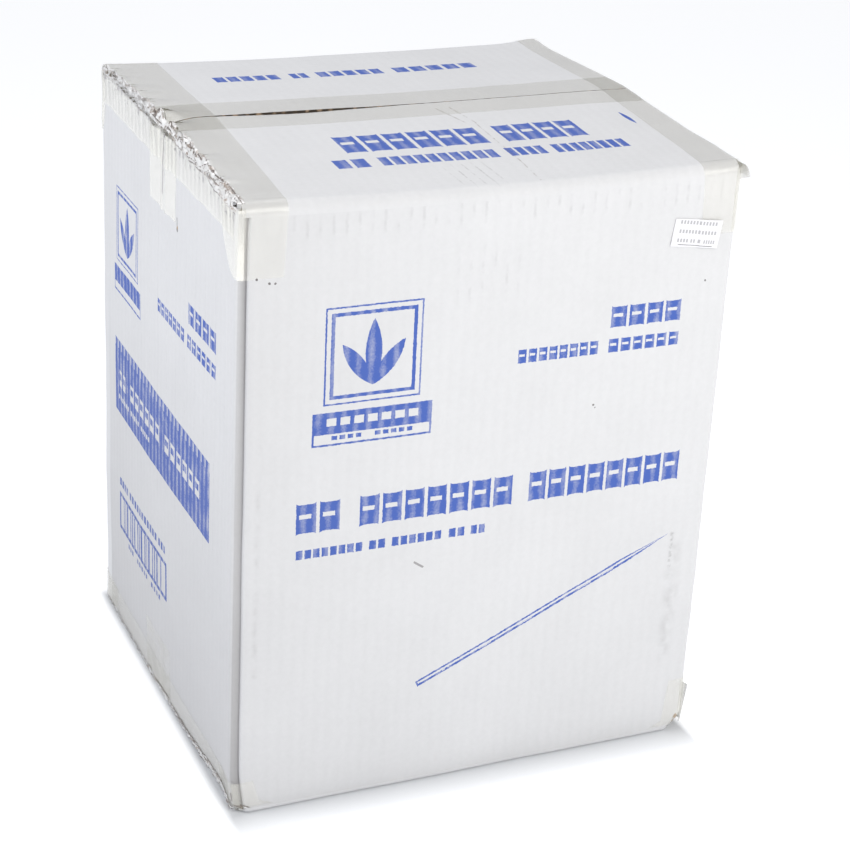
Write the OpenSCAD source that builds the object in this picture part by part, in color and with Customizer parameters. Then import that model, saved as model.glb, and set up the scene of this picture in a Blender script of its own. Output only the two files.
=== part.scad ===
// Sealed shipping carton of corrugated board, closed with six strips of packing tape.
// X runs from left to right along the front wall, Y from front to back and Z up.
// The origin is on the floor under the middle of the carton.

/* [Carton] */
// Width of the carton, left to right
body_w = 320; // [240:1:460]
// Depth of the carton, front to back
body_d = 298; // [240:1:460]
// Height from the floor to the folds of the top flaps
body_h = 404; // [280:1:560]
// Thickness of the corrugated board
board_t = 4; // [3:0.5:7]
// Outer radius of the folds where the front and back flaps bend over
fold_r = 7; // [5:0.5:12]
// Outer radius of the folds where the side flaps bend in
side_fold_r = 5; // [3:0.5:10]
// Outer radius of the upright folds
upright_r = 4; // [2:0.5:7]
// Height that the meeting edges of the top flaps stand above their folds
top_rise = 6; // [1:0.5:12]
// Gap between the meeting edges of the outer flaps
seam_gap = 3; // [1:0.5:8]
// Distance from the side walls in to the cut ends of the outer flaps
flap_setback = 2; // [1:0.25:4]
// Depth of the open space under the raised ends of the top flaps
flap_gap_in = 20; // [8:1:60]

/* [Glued joint] */
// Width of the recess between the left fold and the cut edge of the front wall
joint_w = 6; // [4:0.5:12]
// Depth of the glued tab below the face of the front wall
joint_depth = 2.5; // [1:0.25:4]
// Outer radius of the fold at the glued tab
joint_fold_r = 2.5; // [1:0.25:4]

/* [Crushed corners] */
// Depth that the lower right front corner is crushed, along its diagonal
right_crush = 6; // [5:0.25:10]
// Depth that the lower left front corner is crushed, along its diagonal
left_crush = 5.5; // [5:0.25:10]

/* [Tape] */
// Width of the tape
tape_w = 55; // [40:1:76]
// Thickness of the tape with its glue
tape_t = 0.25; // [0.15:0.05:0.4]
// Length over which a strip steps up or down where it crosses another
step_w = 1.5; // [1:0.25:3]

/* [Seam strips] */
// Length that the top seam strip runs down the side walls
top_seam_tail = 53; // [30:1:90]
// Distance that the top seam strip lies behind the seam
top_seam_shift = 3; // [-10:1:10]
// Length that the bottom seam strip runs up the side walls
bottom_seam_tail = 42; // [30:1:90]
// Distance that the bottom seam strip lies behind the seam
bottom_seam_shift = 14; // [-15:1:15]
// Distance from the left wall to the split in the top seam strip
split_from = 54; // [50:1:100]
// Length of the split in the top seam strip
split_l = 64; // [10:1:100]
// Width of the split in the top seam strip
split_w = 2.4; // [0.5:0.1:5]

/* [End strips] */
// Width of the top left strip on the flaps at the front
top_left_front = 27; // [20:1:38]
// Width of the top left strip on the flaps at the back
top_left_back = 36; // [20:1:38]
// Width of the top right strip on the flaps at the front
top_right_front = 26; // [14:1:38]
// Width of the top right strip on the flaps at the back
top_right_back = 15; // [14:1:38]
// Length of the loose ear at the front of the top right strip
ear_l = 12; // [4:1:30]
// Radius that the loose ear curls down with
ear_r = 10; // [6:0.5:20]
// Angle that the loose ear curls through
ear_turn = 75; // [30:5:90]
// Length of the top end strips' tails on the front and back walls
top_tail = 45; // [25:1:90]
// Width of the bottom left strip under the flaps
bottom_left_under = 34; // [20:1:38]
// Width of the bottom left strip's tail on the front wall
bottom_left_tail_w = 15; // [12:1:20]
// Length of the bottom left strip's tails
bottom_left_tail = 24; // [15:1:60]
// Width of the bottom right strip under the flaps
bottom_right_under = 34; // [20:1:38]
// Width of the bottom right strip's tail on the front wall
bottom_right_tail_w = 13; // [12:1:20]
// Length of the bottom right strip's tails
bottom_right_tail = 34; // [15:1:60]
// Length that every end strip's tails wrap back along the side walls
tail_wrap = 32; // [15:1:50]

/* [Label] */
// Width of the stick-on label
label_w = 33; // [20:1:60]
// Height of the stick-on label
label_h = 18; // [12:1:40]
// Thickness of the stick-on label
label_t = 0.2; // [0.1:0.05:0.4]
// Distance from the right wall to the middle of the label
label_in = 28; // [24:1:100]
// Distance from the top folds down to the middle of the label
label_down = 43; // [35:1:120]
// Turn of the label on the wall, in degrees, its right end down
label_turn = 8; // [-15:1:15]

/* [Hidden] */
$fn = 64;

half_w = body_w / 2;
half_d = body_d / 2;
// Top of the side flaps, which the outer flaps lie on
side_flap_z = body_h - board_t;
// Centre of the round of each front and back fold
fold_y = half_d - fold_r;
top_fold_z = body_h - fold_r;
base_fold_z = fold_r;
roof_slope = atan(top_rise / fold_y);
// Reach of the tools that cut or cover past the carton's faces
reach = 20;
tall = body_h + top_rise + 2 * reach;

board_colour = [0.93, 0.93, 0.92];
tape_colour = [0.84, 0.83, 0.78];
label_colour = [0.97, 0.97, 0.98];

// Outline seen from the side: walls, round folds and the two rising top flaps, all grown by grow
module side_outline(grow) {
    r = fold_r + grow;
    ridge_z = top_fold_z + r / cos(roof_slope) + fold_y * tan(roof_slope);
    for (y = [-fold_y, fold_y], z = [base_fold_z, top_fold_z])
        translate([y, z]) circle(r);
    polygon([
        [0, ridge_z],
        [-fold_y - r * sin(roof_slope), top_fold_z + r * cos(roof_slope)],
        [-half_d - grow, top_fold_z],
        [-half_d - grow, base_fold_z],
        [-fold_y, -grow],
        [fold_y, -grow],
        [half_d + grow, base_fold_z],
        [half_d + grow, top_fold_z],
        [fold_y + r * sin(roof_slope), top_fold_z + r * cos(roof_slope)]
    ]);
}

// Rectangle from its low corner to its high corner, each corner rounded with radius r
module rounded_rectangle(low, high, r) {
    translate([low.x + r, low.y]) square([high.x - low.x - 2 * r, high.y - low.y]);
    translate([low.x, low.y + r]) square([high.x - low.x, high.y - low.y - 2 * r]);
    for (x = [low.x + r, high.x - r], y = [low.y + r, high.y - r])
        translate([x, y]) circle(r);
}

// Outline seen from above, grown by grow, as the tape sees it
module plan_outline(grow) {
    far = [half_w + grow, half_d + grow];
    rounded_rectangle(-far, far, upright_r + grow);
}

// Outline seen from above, with the glued joint at the front left fold
module joint_outline() {
    tab_y = -half_d + joint_depth;
    // The left wall folds round onto the glued tab, behind the face of the front wall
    rounded_rectangle([-half_w, tab_y], [0, 0], joint_fold_r);
    // The front wall ends in its cut edge, and its other end folds at the right
    translate([-half_w + joint_w, -half_d]) square([half_w, half_d]);
    intersection() {
        plan_outline(0);
        union() {
            translate([-half_w, -half_d / 2]) square([body_w, body_d]);
            translate([0, -half_d]) square([half_w, body_d]);
        }
    }
}

// Outline seen from the front: round folds of the side flaps, and the outer flaps' cut ends
module end_outline() {
    flap_x = half_w - flap_setback;
    rounded_rectangle([-half_w, board_t], [half_w, side_flap_z], side_fold_r);
    translate([-flap_x, -reach]) square([2 * flap_x, tall]);
}

// Cuts a corner back to a flat across its diagonal. side is -1 at the left and 1 at the right
module crush(side, depth, grow) {
    steep = acos(-1 / sqrt(3));
    translate([side * half_w, -half_d, 0])
        rotate([0, steep, atan2(-1, side)])
            translate([-reach, -reach, grow - depth])
                cube([2 * reach, 2 * reach, reach]);
}

// Closed outer form of the carton, with every face moved out by grow
module skin(grow) {
    difference() {
        intersection() {
            translate([0, 0, -reach]) linear_extrude(tall) plan_outline(grow);
            translate([-half_w - reach, 0, 0])
                rotate([90, 0, 90]) linear_extrude(body_w + 2 * reach) side_outline(grow);
        }
        crush(1, right_crush, grow);
        crush(-1, left_crush, grow);
    }
}

// Space above a level
module above(level) {
    translate([-half_w - reach, -half_d - reach, level])
        cube([body_w + 2 * reach, body_d + 2 * reach, tall]);
}

// Space between the board and a skin. A strip lies on the board, but under the base the load presses
// it in, flush with the board: press is how deep it lies there, and nothing reaches below the floor
module layer(outer, press) {
    difference() {
        intersection() {
            skin(outer);
            above(0);
        }
        intersection() {
            skin(0);
            above(press);
        }
    }
}

// Space that a seam strip covers, wider by margin. up is 1 for the top strip and -1 for the bottom
module seam_cover(up, margin) {
    shift = up > 0 ? top_seam_shift : bottom_seam_shift;
    tail = (up > 0 ? top_seam_tail : bottom_seam_tail) + margin;
    wide = tape_w + 2 * margin;
    z = up > 0 ? body_h - tail : tail - tall;
    translate([-half_w - reach, shift - wide / 2, z]) cube([body_w + 2 * reach, wide, tall]);
}

// Space that an end strip covers. side is -1 at the left and 1 at the right, and up is as above.
// on_front and on_back are its widths on the flaps, and tail_w and tail its tail on the front wall
module end_cover(side, up, on_front, on_back, tail_w, tail) {
    wall_h = tape_w - (on_front + on_back) / 2;
    band_z = up > 0 ? body_h - wall_h : wall_h - tall;
    tail_z = up > 0 ? body_h - tail : tail - tall;
    x = side * (half_w + reach);
    translate([0, 0, band_z]) linear_extrude(tall) polygon([
        [x, -fold_y], [x, fold_y],
        [side * (half_w - on_back), fold_y], [side * (half_w - on_front), -fold_y]
    ]);
    for (s = [-1, 1]) {
        in = s < 0 ? tail_w : on_back;
        translate([0, 0, tail_z]) linear_extrude(tall) polygon([
            [x, s * (half_d + reach)], [x, s * (half_d - tail_wrap)],
            [side * (half_w - in), s * (half_d - tail_wrap)],
            [side * (half_w - in), s * (half_d + reach)]
        ]);
    }
}

// Space that a bottom end strip covers under the base. margin widens it towards the middle
module base_cover(side, under, margin) {
    x = side > 0 ? half_w - under - margin : -half_w - reach;
    translate([x, -half_d - reach, -tall]) cube([under + margin + reach, body_d + 2 * reach, 2 * tall]);
}

// One end strip, lying on the board and stepping up over the seam strip that it crosses
module end_strip(side, up, on_front, on_back, tail_w, tail) {
    press = up > 0 ? 0 : tape_t;
    difference() {
        union() {
            intersection() {
                layer(tape_t, press);
                end_cover(side, up, on_front, on_back, tail_w, tail);
            }
            intersection() {
                layer(2 * tape_t, press);
                end_cover(side, up, on_front, on_back, tail_w, tail);
                seam_cover(up, step_w);
            }
        }
        // The seam strip lies inside, and under the base its face is the end strip's inner face
        intersection() {
            skin(tape_t);
            seam_cover(up, 0);
            above(press);
        }
    }
}

// Loose ear of tape at the front end of the top right strip, curling down beside the wall
module ear() {
    translate([half_w, -fold_y, body_h])
        rotate([90 + roof_slope, 0, 0])
            translate([0, 0, -ear_l])
                linear_extrude(ear_l)
                    intersection() {
                        translate([0, -ear_r]) difference() {
                            circle(ear_r + tape_t);
                            circle(ear_r);
                        }
                        translate([0, -ear_r]) polygon([
                            [0, 0],
                            [2 * ear_r * sin(ear_turn), 2 * ear_r * cos(ear_turn)],
                            [2 * ear_r, 2 * ear_r],
                            [0, 2 * ear_r]
                        ]);
                    }
}

// Space in front of the wall that the label covers, wider by margin
module label_cover(margin) {
    translate([half_w - label_in, 0, body_h - label_down])
        rotate([0, label_turn, 0])
            translate([-label_w / 2 - margin, -half_d - reach, -label_h / 2 - margin])
                cube([label_w + 2 * margin, 2 * reach, label_h + 2 * margin]);
}

module top_right_cover() {
    end_cover(1, 1, top_right_front, top_right_back, top_right_front, top_tail);
}

// Open space between a raised top flap and the side flap that it lies on, at one end and one side
module flap_gap(side, back) {
    x = side > 0 ? half_w - flap_gap_in : -half_w - reach;
    translate([x, 0, 0])
        rotate([90, 0, 90])
            linear_extrude(flap_gap_in + reach)
                polygon([
                    [0, side_flap_z],
                    [back * fold_y, side_flap_z],
                    [0, side_flap_z + fold_y * tan(roof_slope)]
                ]);
}

// One folded sheet of board, closed: walls, flaps, folds, glued joint and the seams between flaps
module carton() {
    color(board_colour)
    difference() {
        intersection() {
            skin(0);
            translate([0, 0, -reach]) linear_extrude(tall) joint_outline();
            translate([0, half_d + reach, 0])
                rotate([90, 0, 0]) linear_extrude(body_d + 2 * reach) end_outline();
        }
        // Gap between the outer flaps at the top, down to the side flaps
        translate([-half_w - reach, -seam_gap / 2, side_flap_z])
            cube([body_w + 2 * reach, seam_gap, tall]);
        // Gap between the outer flaps at the bottom, up to the side flaps
        translate([-half_w - reach, -seam_gap / 2, board_t - tall])
            cube([body_w + 2 * reach, seam_gap, tall]);
        for (side = [-1, 1], back = [-1, 1])
            flap_gap(side, back);
        // Beds that the load has pressed the bottom strips into
        bottom_seam_form();
        bottom_left_form();
        bottom_right_form();
    }
}

module top_seam_tape() {
    color(tape_colour)
    difference() {
        intersection() {
            layer(tape_t, 0);
            seam_cover(1, 0);
        }
        // Split where the tape has parted over the gap
        translate([-half_w + split_from, -split_w / 2, side_flap_z]) cube([split_l, split_w, tall]);
    }
}

// The bottom seam strip dips further into the board where the end strips cross it
module bottom_seam_form() {
    difference() {
        union() {
            intersection() {
                layer(tape_t, tape_t);
                seam_cover(-1, 0);
            }
            for (side = [-1, 1])
                intersection() {
                    layer(tape_t, 2 * tape_t);
                    seam_cover(-1, 0);
                    base_cover(side, side < 0 ? bottom_left_under : bottom_right_under, step_w);
                }
        }
        for (side = [-1, 1])
            difference() {
                base_cover(side, side < 0 ? bottom_left_under : bottom_right_under, 0);
                above(tape_t);
            }
    }
}

module bottom_left_form() {
    end_strip(-1, -1, bottom_left_under, bottom_left_under, bottom_left_tail_w, bottom_left_tail);
}

module bottom_right_form() {
    end_strip(1, -1, bottom_right_under, bottom_right_under, bottom_right_tail_w, bottom_right_tail);
}

module bottom_seam_tape() {
    color(tape_colour) bottom_seam_form();
}

module bottom_left_tape() {
    color(tape_colour) bottom_left_form();
}

module bottom_right_tape() {
    color(tape_colour) bottom_right_form();
}

module top_left_tape() {
    color(tape_colour) end_strip(-1, 1, top_left_front, top_left_back, top_left_front, top_tail);
}

module top_right_tape() {
    color(tape_colour) {
        end_strip(1, 1, top_right_front, top_right_back, top_right_front, top_tail);
        ear();
    }
}

// Paper label, stuck partly on the wall and partly over the top right strip's front tail
module lot_label() {
    color(label_colour)
    difference() {
        union() {
            intersection() {
                layer(label_t, 0);
                label_cover(0);
            }
            intersection() {
                layer(tape_t + label_t, 0);
                label_cover(0);
                translate([-step_w, 0, -step_w]) top_right_cover();
            }
        }
        intersection() {
            skin(tape_t);
            top_right_cover();
        }
    }
}

carton();
top_seam_tape();
top_left_tape();
top_right_tape();
bottom_seam_tape();
bottom_left_tape();
bottom_right_tape();
lot_label();
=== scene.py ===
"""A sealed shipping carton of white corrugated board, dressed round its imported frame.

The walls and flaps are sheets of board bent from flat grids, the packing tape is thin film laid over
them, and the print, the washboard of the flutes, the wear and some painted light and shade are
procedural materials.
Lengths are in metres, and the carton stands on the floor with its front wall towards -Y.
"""

import math

import bmesh
import bpy
from bpy.props import FloatProperty, FloatVectorProperty, PointerProperty
from mathutils import Matrix, Vector, noise


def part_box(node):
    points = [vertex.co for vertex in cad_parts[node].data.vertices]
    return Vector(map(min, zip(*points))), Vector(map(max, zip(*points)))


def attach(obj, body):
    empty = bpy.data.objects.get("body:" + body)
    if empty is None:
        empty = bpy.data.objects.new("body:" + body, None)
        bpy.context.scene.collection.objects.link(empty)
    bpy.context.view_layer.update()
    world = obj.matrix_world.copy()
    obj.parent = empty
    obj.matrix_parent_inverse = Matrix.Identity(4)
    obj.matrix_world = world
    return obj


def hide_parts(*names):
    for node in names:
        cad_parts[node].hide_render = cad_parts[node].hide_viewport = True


bl_info = {
    "name": "Sealed Shipping Carton",
    "version": (1, 0, 0),
    "blender": (4, 5, 0),
    "location": "3D View > Sidebar > Carton",
    "description": "Builds a taped shipping carton of corrugated board round its packed frame",
    "category": "Add Mesh",
}

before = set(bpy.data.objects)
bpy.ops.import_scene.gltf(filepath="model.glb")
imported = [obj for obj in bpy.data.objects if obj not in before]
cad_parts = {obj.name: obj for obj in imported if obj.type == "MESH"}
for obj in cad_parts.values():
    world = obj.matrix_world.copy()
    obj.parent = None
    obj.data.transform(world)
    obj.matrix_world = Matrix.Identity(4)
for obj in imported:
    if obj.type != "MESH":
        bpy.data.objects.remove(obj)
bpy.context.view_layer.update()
_, CARTON_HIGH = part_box("carton")
MM = 0.001


# Settings

class CartonSettings(bpy.types.PropertyGroup):
    """Sizes and colours of the board"""

    board_t: FloatProperty(
        name="Board Thickness", description="Thickness of the corrugated board",
        default=4 * MM, unit="LENGTH",
    )
    fold_r: FloatProperty(
        name="Flap Fold Radius", description="Outer radius where the front and back flaps bend over",
        default=7 * MM, unit="LENGTH",
    )
    upright_r: FloatProperty(
        name="Upright Fold Radius", description="Outer radius of the upright folds",
        default=4 * MM, unit="LENGTH",
    )
    top_rise: FloatProperty(
        name="Top Rise", description="Height of the top flaps' meeting edges above their folds",
        default=6 * MM, unit="LENGTH",
    )
    flute_pitch: FloatProperty(
        name="Flute Pitch", description="Distance from one flute of the board to the next",
        default=7.9 * MM, unit="LENGTH",
    )
    liner: FloatVectorProperty(
        name="Liner", description="Colour of the white paper facing",
        default=(0.660, 0.664, 0.680), subtype="COLOR",
    )
    kraft: FloatVectorProperty(
        name="Kraft", description="Colour of the brown paper inside the board",
        default=(0.36, 0.25, 0.16), subtype="COLOR",
    )
    ink: FloatVectorProperty(
        name="Ink", description="Colour of the printing ink",
        default=(0.055, 0.115, 0.43), subtype="COLOR",
    )


class TapeSettings(bpy.types.PropertyGroup):
    """Sizes and colours of the packing tape"""

    width: FloatProperty(
        name="Tape Width", description="Width of the packing tape", default=55 * MM, unit="LENGTH",
    )
    thickness: FloatProperty(
        name="Tape Thickness", description="Thickness of the tape with its glue",
        default=0.25 * MM, unit="LENGTH",
    )
    film: FloatVectorProperty(
        name="Film", description="Colour of the clear tape on the white board",
        default=(0.76, 0.745, 0.66), subtype="COLOR",
    )


class StageSettings(bpy.types.PropertyGroup):
    """Floor and lights"""

    floor_colour: FloatVectorProperty(
        name="Floor", description="Colour of the studio floor", default=(0.63, 0.645, 0.67),
        subtype="COLOR",
    )
    key_power: FloatProperty(
        name="Key Power", description="Power of the large soft key light", default=11.5, unit="POWER",
    )


def board():
    """Settings of the board"""
    return bpy.context.scene.carton_board


def tape():
    """Settings of the tape"""
    return bpy.context.scene.carton_tape


# Measures read from the frame

HALF_W = CARTON_HIGH.x
HALF_D = CARTON_HIGH.y
RIDGE_Z = CARTON_HIGH.z
SETBACK = 2 * MM
# The load has pressed the bottom folds nearly square
BASE_FOLD = 2.5 * MM
JOINT_W = 6 * MM
JOINT_DEPTH = 2.5 * MM
JOINT_FOLD_R = 2.5 * MM
LABEL_W = 33 * MM
LABEL_H = 18 * MM
LABEL_TURN = 8
LABEL_IN = 28 * MM
LABEL_DOWN = 43 * MM
# The top seam strip has parted over this stretch
SPLIT_MIDDLE = -74 * MM
SPLIT_REACH = 34 * MM


def fold_z():
    """Height of the folds of the top flaps"""
    return RIDGE_Z - board().top_rise


def wall_top():
    """Height where the walls start to bend over into the flaps"""
    return fold_z() - board().fold_r


def crown(x, y):
    """How far the top stands above its folds: it rises to the seam, where the front flap has sunk"""
    rise = board().top_rise * max(0.0, 1 - abs(y) / (HALF_D - board().fold_r))
    if y < 0:
        rise -= 1.1 * MM * hump(x, SPLIT_MIDDLE, 1.5 * SPLIT_REACH) * max(0.0, 1 + y / (70 * MM)) ** 2
    return rise


# Paths, along which flat sheets are bent

class Path:
    """A line of straight stretches and round bends in a plane, walked from its start"""

    def __init__(self, x, y, heading):
        self.steps = []
        self.x, self.y, self.heading = x, y, math.radians(heading)
        self.length = 0.0

    def straight(self, length):
        """Adds a straight stretch"""
        self.steps.append((self.length, self.x, self.y, self.heading, 0.0))
        self.x += length * math.cos(self.heading)
        self.y += length * math.sin(self.heading)
        self.length += length
        return self

    def bend(self, radius, degrees):
        """Adds a round bend, to the left where degrees is positive"""
        turn = math.radians(degrees)
        side = math.copysign(1, turn)
        self.steps.append((self.length, self.x, self.y, self.heading, side / radius))
        end = self.heading + turn
        self.x += side * radius * (math.sin(end) - math.sin(self.heading))
        self.y -= side * radius * (math.cos(end) - math.cos(self.heading))
        self.heading = end
        self.length += radius * abs(turn)
        return self

    def at(self, distance):
        """Point at a distance along the path, and its heading there"""
        start, x, y, heading, curl = next(
            (step for step in reversed(self.steps) if step[0] <= distance), self.steps[0]
        )
        run = distance - start
        if not curl:
            return x + run * math.cos(heading), y + run * math.sin(heading), heading
        end = heading + run * curl
        return (
            x + (math.sin(end) - math.sin(heading)) / curl,
            y - (math.cos(end) - math.cos(heading)) / curl,
            end,
        )

    def stations(self, coarse, fine=0.7 * MM):
        """Distances along the path, close together on its bends"""
        marks = [0.0]
        ends = [step[0] for step in self.steps[1:]] + [self.length]
        for step, end in zip(self.steps, ends):
            count = max(1, math.ceil((end - step[0]) / (fine if step[4] else coarse)))
            marks += [step[0] + (end - step[0]) * (n + 1) / count for n in range(count)]
        return marks


def even(start, end, step):
    """Evenly spaced stations from start to end"""
    count = max(1, math.ceil(abs(end - start) / step))
    return [start + (end - start) * n / count for n in range(count + 1)]


# Settling: how the real carton sags, bulges and is crushed

def hump(value, centre, width):
    """Smooth hump from 0 to 1 round a centre"""
    return math.exp(-(((value - centre) / width) ** 2))


def settle(p):
    """Moves a point of the ideal carton to where the used carton has it"""
    x, y, z = p
    out = Vector(p)
    along = 1 - min(1.0, abs(x) / HALF_W) ** 2
    depth = 1 - min(1.0, abs(y) / HALF_D) ** 2
    height = min(1.0, z / fold_z())
    # The flaps sag between the side walls, most along the front fold
    front_edge = hump(y, -HALF_D, 28 * MM)
    back_edge = hump(y, HALF_D, 60 * MM)
    out.z -= height**6 * along * MM * (1.6 + 1.4 * front_edge - 1.1 * back_edge)
    # Each wall bellies out a little under the load
    belly = math.sin(math.pi * height) * 1.5 * MM
    out.y += math.copysign(belly * along, y) * min(1.0, abs(y) / HALF_D) ** 4
    out.x += math.copysign(belly * depth, x) * min(1.0, abs(x) / HALF_W) ** 4
    # Soft dents from handling
    dent = 0.5 * MM * noise.noise(Vector(p) * 14) + 0.25 * MM * noise.noise(Vector(p) * 40)
    out += dent * Vector((x / HALF_W, y / HALF_D, 0.6 * height))
    # The lower front corners are crushed
    for side, crushed in ((1, 8 * MM), (-1, 5.5 * MM)):
        corner = Vector((side * HALF_W, -HALF_D, 0))
        inward = Vector((-side, 1, 1)).normalized()
        deep = crushed - (out - corner).dot(inward)
        if deep > 0:
            out += inward * deep
    # The right fold has sunk towards the front, and both back corners stand up
    top = height**8
    out.z -= top * 1.6 * MM * hump(x, HALF_W, 30 * MM) * hump(y, -50 * MM, 70 * MM)
    out.z += top * 2.5 * MM * hump(x, HALF_W, 22 * MM) * hump(y, HALF_D, 20 * MM)
    out.z += top * 1.4 * MM * hump(x, -HALF_W, 60 * MM) * hump(y, HALF_D, 75 * MM)
    # The top left edge is battered all along, with a notch at the seam and a clump on each side of it
    battered = hump(x, -HALF_W, 14 * MM) * hump(z, fold_z(), 22 * MM)
    jagged = 2.0 * noise.noise(Vector((0.3, y * 55, 7))) + 1.3 * noise.noise(Vector((4.2, y * 150, 1)))
    out.z += battered * MM * jagged
    coarse, fine = noise.noise(Vector((5.1, y * 70, 2))), noise.noise(Vector((1, y * 190, z * 90)))
    out.x += battered * MM * (1.6 * coarse + 0.8 * fine)
    end = hump(x, -HALF_W, 12 * MM) * top
    clumps = 2.8 * hump(y, 11 * MM, 6 * MM) + 1.8 * hump(y, -14 * MM, 6 * MM)
    out.z += end * MM * (clumps - 3.6 * hump(y, -2 * MM, 6 * MM))
    if x < -HALF_W + MM:
        # The flutes of the broken wall stand out as a fan of ridges below the edge
        below = (fold_z() - z) / (24 * MM)
        fan = max(0.0, 1 - below) * min(1.0, max(0.0, 4 * below - 0.4))
        out.x -= fan * 0.8 * MM * max(0.0, math.cos(2 * math.pi * y / board().flute_pitch))
    # The foot of the left wall is tucked in towards the front, and the glued joint leans out to the left
    out.x += 3.6 * MM * hump(x, -HALF_W, 40 * MM) * hump(z, 0, 20 * MM) * hump(y, -HALF_D, 80 * MM)
    out.x -= 2.5 * MM * hump(x, -HALF_W, 14 * MM) * hump(y, -HALF_D, 20 * MM)
    out.z = max(out.z, 0.0)
    return out


# Sheets

def facing(p):
    """Direction that the carton's surface faces near a point"""
    reach = 7 * MM
    x = max(0.0, 1 - (HALF_W - abs(p.x)) / reach) * math.copysign(1, p.x)
    y = max(0.0, 1 - (HALF_D - abs(p.y)) / reach) * math.copysign(1, p.y)
    z = max(0.0, 1 - (fold_z() - p.z) / reach) - max(0.0, 1 - p.z / reach)
    direction = Vector((x, y, z))
    return direction.normalized() if direction.length > 0 else Vector((0, 0, 1))


def add_grid(bm, across, along, place):
    """Adds a flat grid to a mesh, bends it by place(a, b), turns it outward and keeps its rim sharp"""
    made = bmesh.ops.create_grid(
        bm, x_segments=len(across) - 1, y_segments=len(along) - 1, size=0.5, calc_uvs=False,
    )
    columns, rows = len(across) - 1, len(along) - 1
    for vert in made["verts"]:
        a = across[round((vert.co.x + 0.5) * columns)]
        b = along[round((vert.co.y + 0.5) * rows)]
        vert.co = place(a, b)
    faces = {face for vert in made["verts"] for face in vert.link_faces}
    agree = 0.0
    for face in faces:
        face.normal_update()
        agree += face.normal.dot(facing(face.calc_center_median())) * face.calc_area()
    if agree < 0:
        bmesh.ops.reverse_faces(bm, faces=list(faces))
    for edge in {edge for face in faces for edge in face.edges if edge.is_boundary}:
        edge.smooth = False


def finish_sheet(name, bm, thickness, smooth=True, cut_edge=False):
    """Makes the grids a piece with thickness behind its outer face, its cut edge in a second material"""
    mesh = bpy.data.meshes.new(name)
    for face in bm.faces:
        face.smooth = smooth
    bm.to_mesh(mesh)
    bm.free()
    piece = bpy.data.objects.new(name, mesh)
    bpy.context.scene.collection.objects.link(piece)
    solid = piece.modifiers.new("Thickness", "SOLIDIFY")
    solid.thickness = thickness
    solid.offset = -1
    solid.use_even_offset = False
    solid.use_rim = True
    solid.material_offset_rim = 1 if cut_edge else 0
    return piece


def make_sheet(name, across, along, place, thickness, smooth=True, cut_edge=False):
    """One grid bent into a sheet with thickness"""
    bm = bmesh.new()
    add_grid(bm, across, along, place)
    return finish_sheet(name, bm, thickness, smooth, cut_edge)


def dress(piece, materials, slot, *nodes):
    """Gives a piece its materials, hides the nodes it stands for, and rides it on the carton. The slot
    argument is not used
    """
    # Clear film casts no shadow on the board beneath it
    piece.visible_shadow = materials != "packing_tape"
    piece.data.materials.clear()
    for name in materials.split():
        piece.data.materials.append(bpy.data.materials[name])
    if nodes:
        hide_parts(*nodes)
    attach(piece, "root")
    return piece


# Shader graphs

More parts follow.
